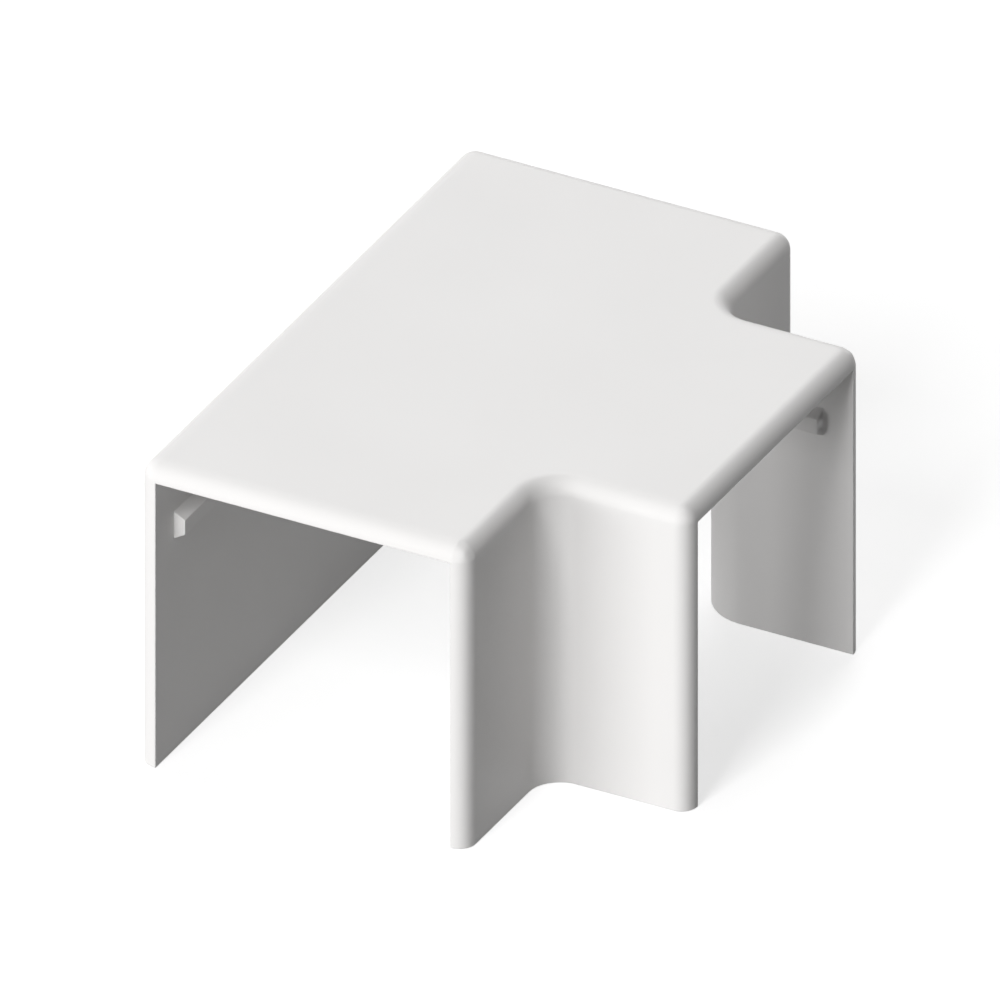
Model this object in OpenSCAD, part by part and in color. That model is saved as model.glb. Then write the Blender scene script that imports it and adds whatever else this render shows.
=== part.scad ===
// Flat tee for square mini trunking.
// A one-piece moulded cover: it pushes on over the place where a branch leaves
// a straight run, hides the sawn ends and grips the trunking inside each mouth.
// The origin lies on the wall plane, where the two centre lines cross.
// The run lies along Y, the branch points along +X and the cover rises along +Z.

/* [Trunking] */
// Width of the trunking that the cover fits over
trunk_w = 25; // [16:0.5:40]
// Height of the trunking, from the wall plane to the top of its lid
trunk_h = 25; // [16:0.5:40]
// Gap between trunking and cover, at each side and above the lid
fit_gap = 0.1; // [0.05:0.05:0.4]

/* [Moulding] */
// Thickness of the moulded wall
wall = 1.5; // [1.2:0.1:2.5]
// Radius of the rounded outer edges, as far as the wall can carry it
edge_r = 1.4; // [0.4:0.1:1.4]
// Radius of the outer blend where the branch meets the run
blend_r = 2.6; // [1:0.1:4.6]

/* [Arms] */
// Reach of each end of the run, past the side of the branch
run_reach = 12.7; // [10.5:0.1:40]
// Reach of the branch, past the side of the run
branch_reach = 12.3; // [10.5:0.1:40]

/* [Clip ribs] */
// Length of each clip rib along its wall
rib_length = 6; // [2:0.5:8]
// Distance from the end of the blend to the near end of a rib
rib_gap = 1.1; // [0.5:0.1:3]
// Drop from the top of the trunking to the middle of a rib
rib_drop = 5.1; // [3:0.1:8]
// Height of a rib where it leaves the wall
rib_root = 2.4; // [1.6:0.1:3]
// Height of the flat crest of a rib
rib_crest = 1.3; // [0.5:0.1:1.5]
// How far a rib stands out of the wall
rib_depth = 0.95; // [0.4:0.05:1.2]

/* [Hidden] */
$fn = 96;

// Flat land left on the end of a wall, inside its rounded edge
end_land = 0.1;
// How far cutting and joining bodies run past the faces that they meet
lap = 1;

round_r = min(edge_r, wall - end_land);

// The passages inside the cover
inner_half = trunk_w / 2 + fit_gap;
inner_top = trunk_h + fit_gap;
inner_blend_r = blend_r + wall;

// The outside of the cover: half the width of an arm, and how far the two ends
// of the run, the branch and the top lie from the origin
half_w = inner_half + wall;
run_tip = half_w + run_reach;
branch_tip = half_w + branch_reach;
top = inner_top + wall;

// A tee has a mirror plane along its branch: draws the children on both sides
module both_sides() {
    children();
    mirror([0, 1, 0]) children();
}

// The run and the branch as plain blocks, standing on the wall plane
module tee_arms(half, run, branch, height) {
    translate([-half, -run, 0]) cube([2 * half, 2 * run, height]);
    translate([0, -half, 0]) cube([branch, 2 * half, height]);
}

// Fills the corners where the branch leaves the run, up to an arc of radius r
module blends(half, r, height) {
    both_sides()
        difference() {
            translate([half - lap, half - lap, 0])
                cube([r + lap, r + lap, height]);
            translate([half + r, half + r, -lap])
                cylinder(h = height + 2 * lap, r = r);
        }
}

// A round bar between two points of the plan, along X or Y
module bar(start, end, r) {
    span = end - start;
    translate(start)
        rotate([0, 90, atan2(span[1], span[0])])
            cylinder(h = norm(span), r = r);
}

// A tee with blended corners, whose outer edges are rounded to r everywhere but
// on the wall plane. Bars, balls and ring pieces lie inside its edges.
module rounded_tee(half, run, branch, height, r, blend) {
    side = half - r;
    run_end = run - r;
    branch_end = branch - r;
    crown = height - r;
    bend = half + blend;

    // Plain blocks behind the rounds: wide, long and high
    tee_arms(half, run_end, branch_end, crown);
    tee_arms(side, run, branch, crown);
    tee_arms(side, run_end, branch_end, height);
    blends(half, blend, crown);
    blends(side, blend + r, height);

    both_sides() {
        // Upright edges, each with a ball on top
        for (corner = [[-side, run_end], [side, run_end], [branch_end, side]])
            translate(corner) {
                cylinder(h = crown, r = r);
                translate([0, 0, crown]) sphere(r);
            }
        // Top edges over the end of the run, its side and the branch's side
        translate([0, 0, crown]) {
            bar([-side, run_end], [side, run_end], r);
            bar([side, bend], [side, run_end], r);
            bar([bend, side], [branch_end, side], r);
            translate([bend, bend, 0])
                rotate(180)
                    rotate_extrude(angle = 90)
                        translate([blend + r, 0]) circle(r);
        }
    }
    // Top edges over the long side and over the end of the branch
    translate([0, 0, crown]) {
        bar([-side, -run_end], [-side, run_end], r);
        bar([branch_end, -side], [branch_end, side], r);
    }
}

// The passages for the trunking, open at the wall plane and at all three mouths
module passages() {
    translate([0, 0, -lap]) {
        tee_arms(inner_half, run_tip + lap, branch_tip + lap, inner_top + lap);
        blends(inner_half, inner_blend_r, inner_top + lap);
    }
}

// One clip rib on the -X wall of a passage, from y = 0 towards -Y.
// Its slanted flanks run on into the wall, to halfway through it.
module clip_rib() {
    sunk = wall / 2;
    flank = (rib_root - rib_crest) / 2 / rib_depth;
    sunk_half = rib_root / 2 + flank * sunk;
    translate([0, 0, trunk_h - rib_drop])
        rotate([90, 0, 0])
            linear_extrude(rib_length)
                polygon([
                    [-sunk, -sunk_half], [rib_depth, -rib_crest / 2],
                    [rib_depth, rib_crest / 2], [-sunk, sunk_half]
                ]);
}

// Two ribs that face each other inside the mouth at the -Y end of the run
module rib_pair() {
    near = half_w + blend_r + rib_gap;
    for (flip = [0, 1])
        mirror([flip, 0, 0])
            translate([-inner_half, -near, 0])
                clip_rib();
}

module tee_cover() {
    color("whitesmoke") {
        difference() {
            rounded_tee(half_w, run_tip, branch_tip, top, round_r, blend_r);
            passages();
        }
        // Ribs in the front and back mouths of the run and in the branch
        for (turn = [0, 180, 90])
            rotate(turn)
                rib_pair();
    }
}

tee_cover();
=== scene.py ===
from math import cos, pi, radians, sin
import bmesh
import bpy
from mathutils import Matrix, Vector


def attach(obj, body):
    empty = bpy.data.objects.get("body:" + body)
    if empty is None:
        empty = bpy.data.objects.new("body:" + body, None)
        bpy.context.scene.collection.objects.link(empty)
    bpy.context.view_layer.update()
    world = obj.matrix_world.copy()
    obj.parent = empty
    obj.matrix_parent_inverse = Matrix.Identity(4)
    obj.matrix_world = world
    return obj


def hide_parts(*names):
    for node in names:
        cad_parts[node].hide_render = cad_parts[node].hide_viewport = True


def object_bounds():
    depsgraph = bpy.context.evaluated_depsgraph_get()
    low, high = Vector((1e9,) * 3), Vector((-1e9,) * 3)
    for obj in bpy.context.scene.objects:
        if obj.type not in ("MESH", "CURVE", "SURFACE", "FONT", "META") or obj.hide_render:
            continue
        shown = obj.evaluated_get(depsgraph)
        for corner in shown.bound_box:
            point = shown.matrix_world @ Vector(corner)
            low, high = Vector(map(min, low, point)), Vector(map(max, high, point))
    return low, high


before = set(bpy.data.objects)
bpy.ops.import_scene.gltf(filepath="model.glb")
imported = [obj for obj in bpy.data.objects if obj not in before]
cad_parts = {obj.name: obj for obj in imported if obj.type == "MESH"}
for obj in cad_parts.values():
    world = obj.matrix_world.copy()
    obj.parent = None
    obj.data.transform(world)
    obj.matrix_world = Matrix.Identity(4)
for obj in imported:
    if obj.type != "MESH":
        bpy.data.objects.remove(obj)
cad_low, cad_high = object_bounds()

# %% [markdown]
# A flat tee for mini trunking is one white moulding: a T-shaped channel that
# pushes on over the place where a branch leaves a straight run. It has no
# screws, seams or moving parts, so its whole look comes from three things: an
# even wall, soft rounds on the outer edges, and the satin of the plastic.
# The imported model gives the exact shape, and it could be shown as it is. Here
# it is modelled again with finer rounds and broken edges, because a thin bright
# line along an edge is what tells the eye that a plain white thing is moulded.

MM = 0.001
half_w = -cad_low.x
run_tip = cad_high.y
branch_tip = cad_high.x
top = cad_high.z
print("run", round(2 * run_tip / MM, 2), "mm, arms", round(2 * half_w / MM, 2), "mm wide")

# %% [markdown]
# The other sizes of the moulding can't be read from a box, so they are named
# here: the wall, the round on the outer edges, and the blend where the branch
# meets the run. The inner blend shares its centre with the outer one, because
# a moulder keeps the wall even so that it cools evenly and doesn't sink. Later
# cells look for edges and faces by where they are. Two lengths count as the
# same there when they differ by less than a tenth of the wall.

# %% Wall, rounds and passages
wall = 1.5 * MM
round_r = 1.4 * MM
outer_blend = 2.6 * MM
inner_blend = outer_blend + wall
inner_half = half_w - wall
inner_top = top - wall
round_steps = 12
blend_steps = 16
tolerance = wall / 10

def same(one, other):
    """True for two lengths that mean the same place."""
    return abs(one - other) < tolerance

print("passage", round(2 * inner_half / MM, 2), "x", round(inner_top / MM, 2), "mm")

# %% [markdown]
# The moulding has two skins, one outside and one inside. Both are the same
# kind of sheet: a T-shaped ceiling with walls that hang from five of its eight
# sides, and nothing over the three mouths. One function makes either of them.
# It starts from the eight corners of the T, pulls the wall edges down to the
# wall plane, and rounds the two upright edges where the branch leaves the run.
# The solidify operator could thicken a single skin instead. Two skins were
# chosen because each then takes its own blend and height from a named value.
# The bevel operator does this rounding and two more later, so it is set up once,
# in round_off. There a profile of 0.5 means a quarter circle, and an offset that
# isn't clamped means that every round gets the radius it is given.

# %% The inner and the outer skin of the tee
shell = bmesh.new()

def round_off(edges, radius, steps):
    """Turn these edges of the shell into rounds of this radius."""
    bmesh.ops.bevel(
        shell, geom=edges, offset=radius, offset_type="OFFSET", affect="EDGES",
        segments=steps, profile=0.5, material=-1, clamp_overlap=False,
    )

def tee_skin(half, ceiling, blend):
    """The ceiling of a T whose arms are twice half wide, and the walls that hang from it."""
    corners = [
        (-half, -run_tip), (half, -run_tip), (half, -half), (branch_tip, -half),
        (branch_tip, half), (half, half), (half, run_tip), (-half, run_tip),
    ]
    sheet = shell.faces.new([shell.verts.new((x, y, ceiling)) for x, y in corners])
    front_mouth, branch_mouth, back_mouth = (sheet.edges[i] for i in (0, 3, 6))
    hanging = [e for e in sheet.edges if e not in (front_mouth, branch_mouth, back_mouth)]
    pulled = bmesh.ops.extrude_edge_only(shell, edges=hanging)["geom"]
    feet = [v for v in pulled if isinstance(v, bmesh.types.BMVert)]
    bmesh.ops.translate(shell, verts=feet, vec=(0, 0, -ceiling))
    turns = [v for v in feet if same(v.co.x, half) and same(abs(v.co.y), half)]
    upright = [e for v in turns for e in v.link_edges if same(e.other_vert(v).co.z, ceiling)]
    round_off(upright, blend, blend_steps)

tee_skin(inner_half, inner_top, inner_blend)
inner_verts = set(shell.verts)
tee_skin(half_w, top, outer_blend)
outer_verts = set(shell.verts) - inner_verts
print("inner skin", len(inner_verts), "points, outer skin", len(outer_verts))

# %% [markdown]
# Each skin now has one open border that runs round the feet of its walls and
# up over each mouth. The borders have as many points as each other, so a
# bridge between them makes the whole rim in one go: the feet that stand on the
# wall, and the ends of the walls at the mouths. The body is closed when every
# edge lies between two faces. Those that don't are counted as open edges, here
# and again after the last bevel.

# %% The rim between the skins
def open_edges():
    """The edges that don't lie between exactly two faces."""
    return [e for e in shell.edges if not e.is_manifold]

border = [e for e in shell.edges if e.is_boundary]
bmesh.ops.bridge_loops(shell, edges=border)
bmesh.ops.recalc_face_normals(shell, faces=shell.faces)
print("rim bridged,", len(shell.faces), "faces,", len(open_edges()), "open edges")

# %% [markdown]
# The photograph shows soft rounds on every outer edge: along the top, over the
# mouths and up the outer corners, with a little ball where three of them meet.
# A Bevel modifier could round them, but it would have to be told to leave the
# inside alone. The bevel operator takes just the edges it is given. The feet
# stay square, because the mould parts there.

# %% Round the outer edges
corner_turn = radians(45)

def is_corner(edge):
    """True where two faces turn sharply. The steps of a round turn far less."""
    return edge.calc_face_angle() > corner_turn

def is_outside(edge):
    """True on the outer skin."""
    return all(v in outer_verts for v in edge.verts)

def is_foot(edge):
    """True on the wall plane."""
    return all(same(v.co.z, 0) for v in edge.verts)

outer_edges = [e for e in shell.edges if is_corner(e) and is_outside(e) and not is_foot(e)]
round_off(outer_edges, round_r, round_steps)
print("rounded", len(outer_edges), "edges, volume", round(shell.calc_volume() / MM**3, 1), "mm3")

# %% [markdown]
# Inside each mouth two small ribs face each other and grip the trunking. Each
# is a low trapezoid that grows straight out of the wall. So the wall's own face
# is cut along the four sides of the rib's foot, and the piece inside the cuts
# is pulled out and narrowed to the crest. A boolean with six small blocks would
# come to the same form, but a block that only touches the wall can leave
# slivers. This way the moulding stays one closed body. A point that is nearer
# to a cut than on_the_cut counts as lying on it, which keeps slivers out too.

# %% The ribs
rib_length = 6 * MM
rib_gap = 1.1 * MM
rib_drop = 5.2 * MM
rib_root = 2.4 * MM
rib_crest = 1.3 * MM
rib_depth = 0.95 * MM
rib_start = half_w + outer_blend + rib_gap
rib_middle = inner_top - rib_drop
same_way = cos(radians(2))
on_the_cut = tolerance / 100
x_axis, y_axis, z_axis = Vector((1, 0, 0)), Vector((0, 1, 0)), Vector((0, 0, 1))

def wall_face(normal, place):
    """The flat face of the passage that has this normal and lies round this place."""
    for face in shell.faces:
        facing = face.normal.dot(normal) > same_way
        level_with = same(face.verts[0].co.dot(normal), place.dot(normal))
        if facing and level_with and bmesh.geometry.intersect_face_point(face, place):
            return face

def add_rib(along, inward):
    """A rib beside the mouth that points along, on the wall that faces inward."""
    centre = along * (rib_start + rib_length / 2) - inward * inner_half
    centre.z = rib_middle
    for direction, reach in ((along, rib_length / 2), (z_axis, rib_root / 2)):
        for side in (1, -1):
            face = wall_face(inward, centre)
            bmesh.ops.bisect_plane(
                shell, geom=[face, *face.edges, *face.verts], dist=on_the_cut,
                plane_co=centre + side * reach * direction, plane_no=direction,
            )
    foot = wall_face(inward, centre)
    crest = bmesh.ops.extrude_discrete_faces(shell, faces=[foot])["faces"][0]
    for vert in crest.verts:
        vert.co += inward * rib_depth
        vert.co.z = rib_middle + (vert.co.z - rib_middle) * rib_crest / rib_root

for along, inward in ((-y_axis, x_axis), (y_axis, x_axis), (x_axis, y_axis)):
    add_rib(along, inward)
    add_rib(along, -inward)
print("six ribs, volume", round(shell.calc_volume() / MM**3, 1), "mm3")

# %% [markdown]
# No moulded edge is truly sharp: the steel of the mould leaves a radius of
# about a tenth of a millimetre. It is too small to see as a shape, but it
# catches the light. So every corner that is left, outside or inside, gets a
# very narrow bevel. A Bevel node in the material could fake this, but the fake
# stays behind when the mesh is used somewhere else.

# %% Break the sharp edges
edge_break = 0.07 * MM
break_steps = 2
sharp = [e for e in shell.edges if is_corner(e)]
round_off(sharp, edge_break, break_steps)
bmesh.ops.recalc_face_normals(shell, faces=shell.faces)
print("broke", len(sharp), "edges,", len(shell.faces), "faces,", len(open_edges()), "open edges")

# %% [markdown]
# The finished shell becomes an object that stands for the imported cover. All its
# faces are smooth, so the rounds flow. On its own that would bend the light on
# the flat faces too. Splitting the mesh at their edges would stop it, but leave
# the body open. So a Weighted Normal modifier lets the large faces decide the
# shading at their edges: they stay truly flat, and only the rounds and the
# broken edges turn the light.

# %% The piece that stands for the cover
large_faces_decide = 100
cover_mesh = bpy.data.meshes.new("tee_cover_moulding")
shell.to_mesh(cover_mesh)
shell.free()
cover_mesh.shade_smooth()
cover = bpy.data.objects.new("tee_cover_moulding", cover_mesh)
bpy.context.scene.collection.objects.link(cover)
flatten = cover.modifiers.new("flat faces stay flat", "WEIGHTED_NORMAL")
flatten.keep_sharp = False
flatten.weight = large_faces_decide
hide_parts("tee_cover")
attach(cover, "root")
print("cover", [round(size / MM, 2) for size in cover.dimensions], "mm")

# %% [markdown]
# Trunking is rigid white PVC. It leaves the mould with a satin face: the mould
# is polished, but not like a mirror, and the plastic shrinks a little as it
# sets. So the white is warm by a trace and not quite even, the gloss drifts
# over a centimetre or two, and the face has a faint orange peel that only shows
# where it mirrors something bright. One flat colour would do from far away, but
# close up it looks like a drawing. All three patterns read Object coordinates,
# so they stay on the plastic from every side.

# %% White PVC
pvc_ior = 1.53
noise_low = 0.3
noise_high = 0.7
white_pvc = bpy.data.materials.new("white_pvc")
white_pvc.use_nodes = True
tree = white_pvc.node_tree
plastic = tree.nodes["Principled BSDF"]
plastic.inputs["IOR"].default_value = pvc_ior
coordinates = tree.nodes.new("ShaderNodeTexCoord")

def drift(per_metre, detail, low, high):
    """A soft pattern in the plastic that wanders between two values."""
    noise = tree.nodes.new("ShaderNodeTexNoise")
    noise.inputs["Scale"].default_value = per_metre
    noise.inputs["Detail"].default_value = detail
    tree.links.new(coordinates.outputs["Object"], noise.inputs["Vector"])
    spread = tree.nodes.new("ShaderNodeMapRange")
    spread.inputs["From Min"].default_value = noise_low
    spread.inputs["From Max"].default_value = noise_high
    spread.inputs["To Min"].default_value = low
    spread.inputs["To Max"].default_value = high
    tree.links.new(noise.outputs["Fac"], spread.inputs["Value"])
    return spread.outputs["Result"]

white = (0.802, 0.793, 0.786, 1)
warmer_white = (0.796, 0.786, 0.778, 1)
tint = tree.nodes.new("ShaderNodeMix")
tint.data_type = "RGBA"
tint.inputs["A"].default_value = white
tint.inputs["B"].default_value = warmer_white
tree.links.new(drift(per_metre=45, detail=2, low=0, high=1), tint.inputs["Factor"])
tree.links.new(tint.outputs["Result"], plastic.inputs["Base Color"])
satin = drift(per_metre=70, detail=3, low=0.42, high=0.46)
tree.links.new(satin, plastic.inputs["Roughness"])

peel_strength = 0.25
peel_height = 0.004 * MM
peel = tree.nodes.new("ShaderNodeBump")
peel.inputs["Strength"].default_value = peel_strength
peel.inputs["Distance"].default_value = peel_height
tree.links.new(drift(per_metre=1400, detail=2, low=0, high=1), peel.inputs["Height"])
tree.links.new(peel.outputs["Normal"], plastic.inputs["Normal"])
cover_mesh.materials.append(white_pvc)
print("white PVC with", len(tree.nodes), "nodes")

# %% [markdown]
# The cover stands on a plain floor, as it would on a photographer's table. The
# table looks white, but it reflects less light than it seems to: a truly white
# table would fill the shaded sides from below, and the photograph has those
# sides very dark. So the lamps' light meets a dull grey, and only the eye and
# reflections meet the white: a paler grey that still takes a shadow, and a glow
# that lifts it to white. More light on the table would whiten it too, but it
# would spoil the cover. The table is clear from underneath, for a look at the
# open side.

# %% Floor
def grey(level):
    """A colour without any tint."""
    return (level, level, level, 1)

def sees_white(tree):
    """1 for the rays that see the background: straight on, in a gloss or through glass."""
    ray = tree.nodes.new("ShaderNodeLightPath")
    any_of = ray.outputs["Is Camera Ray"]
    for kind in ("Is Glossy Ray", "Is Transmission Ray"):
        either = tree.nodes.new("ShaderNodeMath")
        either.operation = "MAXIMUM"
        tree.links.new(any_of, either.inputs[0])
        tree.links.new(ray.outputs[kind], either.inputs[1])
        any_of = either.outputs["Value"]
    return any_of

floor_size = 4.0
dull_grey = 0.18
shown_grey = 0.5
shown_glow = 0.69
table_mesh = bpy.data.meshes.new("floor")
table = bmesh.new()
bmesh.ops.create_grid(table, x_segments=1, y_segments=1, size=floor_size / 2)
table.to_mesh(table_mesh)
table.free()
floor = bpy.data.objects.new("floor", table_mesh)
bpy.context.scene.collection.objects.link(floor)

table_white = bpy.data.materials.new("table_white")
table_white.use_nodes = True
tree = table_white.node_tree
tree.nodes.clear()
dull = tree.nodes.new("ShaderNodeBsdfDiffuse")
dull.inputs["Color"].default_value = grey(dull_grey)
shown = tree.nodes.new("ShaderNodeBsdfDiffuse")
shown.inputs["Color"].default_value = grey(shown_grey)
lift = tree.nodes.new("ShaderNodeEmission")
lift.inputs["Strength"].default_value = shown_glow
bright = tree.nodes.new("ShaderNodeAddShader")
tree.links.new(shown.outputs[0], bright.inputs[0])
tree.links.new(lift.outputs[0], bright.inputs[1])
from_above = tree.nodes.new("ShaderNodeMixShader")
tree.links.new(sees_white(tree), from_above.inputs["Fac"])
tree.links.new(dull.outputs[0], from_above.inputs[1])
tree.links.new(bright.outputs[0], from_above.inputs[2])
side = tree.nodes.new("ShaderNodeNewGeometry")
clear = tree.nodes.new("ShaderNodeBsdfTransparent")
either_side = tree.nodes.new("ShaderNodeMixShader")
tree.links.new(side.outputs["Backfacing"], either_side.inputs["Fac"])
tree.links.new(from_above.outputs[0], either_side.inputs[1])
tree.links.new(clear.outputs[0], either_side.inputs[2])
ground = tree.nodes.new("ShaderNodeOutputMaterial")
tree.links.new(either_side.outputs[0], ground.inputs["Surface"])
table_mesh.materials.append(table_white)
print("floor", floor_size, "m wide")

# %% [markdown]
# The room round the table is white to the eye as well, and lights the cover
# with a low even glow, so that no side is lost in the dark. A white wall behind
# the table would look the same from one side only. The world is there from all.

# %% World
glow_level = 0.07
backdrop_level = 1.0
room = bpy.data.worlds.new("room")
bpy.context.scene.world = room
room.use_nodes = True
tree = room.node_tree
tree.nodes.clear()
glow = tree.nodes.new("ShaderNodeBackground")
glow.inputs["Strength"].default_value = glow_level
backdrop = tree.nodes.new("ShaderNodeBackground")
backdrop.inputs["Strength"].default_value = backdrop_level
for light in (glow, backdrop):
    light.inputs["Color"].default_value = grey(1)
mixed = tree.nodes.new("ShaderNodeMixShader")
tree.links.new(sees_white(tree), mixed.inputs["Fac"])
tree.links.new(glow.outputs[0], mixed.inputs[1])
tree.links.new(backdrop.outputs[0], mixed.inputs[2])
world_out = tree.nodes.new("ShaderNodeOutputWorld")
tree.links.new(mixed.outputs[0], world_out.inputs["Surface"])
print("room glow", glow_level)

# %% [markdown]
# In the photograph the front faces are the brightest, the top comes next, and
# whatever faces right is dark. Three soft boxes give that on a real white
# thing. The main one stands in front, a third of the way up, so that the rounds
# between the front faces and the top get the most. A second one is low and to
# its left: it shines in at the front mouth and across to the far side of the
# branch, which faces front too. The third hangs behind on the left and lifts
# the top without touching the front or the right-hand faces. Two more low
# ones, on the left and behind, are for a walk round the cover: they light the
# two sides that the picture doesn't show, and leave the rest as it is.
# A lamp of level 1 lights a white face that looks straight at it to full white,
# so the levels stay below that. The low lamps and the one in front are kept out
# of reflections, as a photographer does with a filter: seen at a flat angle, the
# top would mirror them and go blank. A single lamp beside the camera would be
# simpler, but it would light the right-hand faces too.

# %% Lamps
distance = 1.6

def soft_box(name, towards, width, height, level, mirrored):
    """A flat lamp that looks at the cover from this direction."""
    light = bpy.data.lights.new(name, "AREA")
    light.shape = "RECTANGLE"
    light.size = width
    light.size_y = height
    light.energy = level * (pi * distance) ** 2
    direction = Vector(towards).normalized()
    holder = bpy.data.objects.new(name, light)
    holder.location = direction * distance
    holder.rotation_euler = direction.to_track_quat("Z", "Y").to_euler()
    holder.visible_glossy = mirrored
    bpy.context.scene.collection.objects.link(holder)
    print(name, "level", level, "from", [round(c, 2) for c in direction])

soft_box("front_box", (0.00, -0.84, 0.54), width=0.5, height=1.1, level=0.83, mirrored=False)
soft_box("low_box", (-0.42, -0.90, 0.10), width=0.7, height=0.35, level=0.44, mirrored=False)
soft_box("back_box", (-0.35, 0.65, 0.67), width=1.1, height=1.1, level=0.39, mirrored=True)
soft_box("left_box", (-0.95, 0.25, 0.15), width=1.0, height=0.7, level=0.26, mirrored=False)
soft_box("behind_box", (-0.05, 0.98, 0.18), width=0.8, height=0.7, level=0.34, mirrored=False)

# %% [markdown]
# The picture is a drawing without perspective, so the camera is orthographic.
# Its two angles and its scale were measured from the lengths of the edges: the
# passage is as wide as it is high, and its wall is 1.5 mm. The camera could be
# moved by eye until the edges meet, but angles worked out from the edges are
# exact. The near bottom corner on the left then fixes the picture's middle, by
# how far that corner lies to the left of it and below it.

# %% Camera
azimuth = radians(27.77)
elevation = radians(30.92)
pixels_per_mm = 13.2
picture_pixels = 1000
corner_left = 27.43 * MM
corner_below = 19.97 * MM
camera_away = 0.3
nearest_seen = 0.001
farthest_seen = 20
right = Vector((cos(azimuth), sin(azimuth), 0))
back = Vector((sin(azimuth) * cos(elevation), -cos(azimuth) * cos(elevation), sin(elevation)))
up = back.cross(right)
near_corner = Vector((-half_w, -run_tip, 0))
middle = near_corner + right * corner_left + up * corner_below

lens = bpy.data.cameras.new("camera")
lens.type = "ORTHO"
lens.ortho_scale = picture_pixels / pixels_per_mm * MM
lens.clip_start = nearest_seen
lens.clip_end = farthest_seen
camera = bpy.data.objects.new("camera", lens)
turned = Matrix((right, up, back)).transposed().to_4x4()
camera.matrix_world = Matrix.Translation(middle + back * camera_away) @ turned
bpy.context.scene.collection.objects.link(camera)
bpy.context.scene.camera = camera
bpy.context.scene.view_settings.view_transform = "Standard"
print("picture", round(lens.ortho_scale / MM, 2), "mm wide, camera", camera_away, "m away")
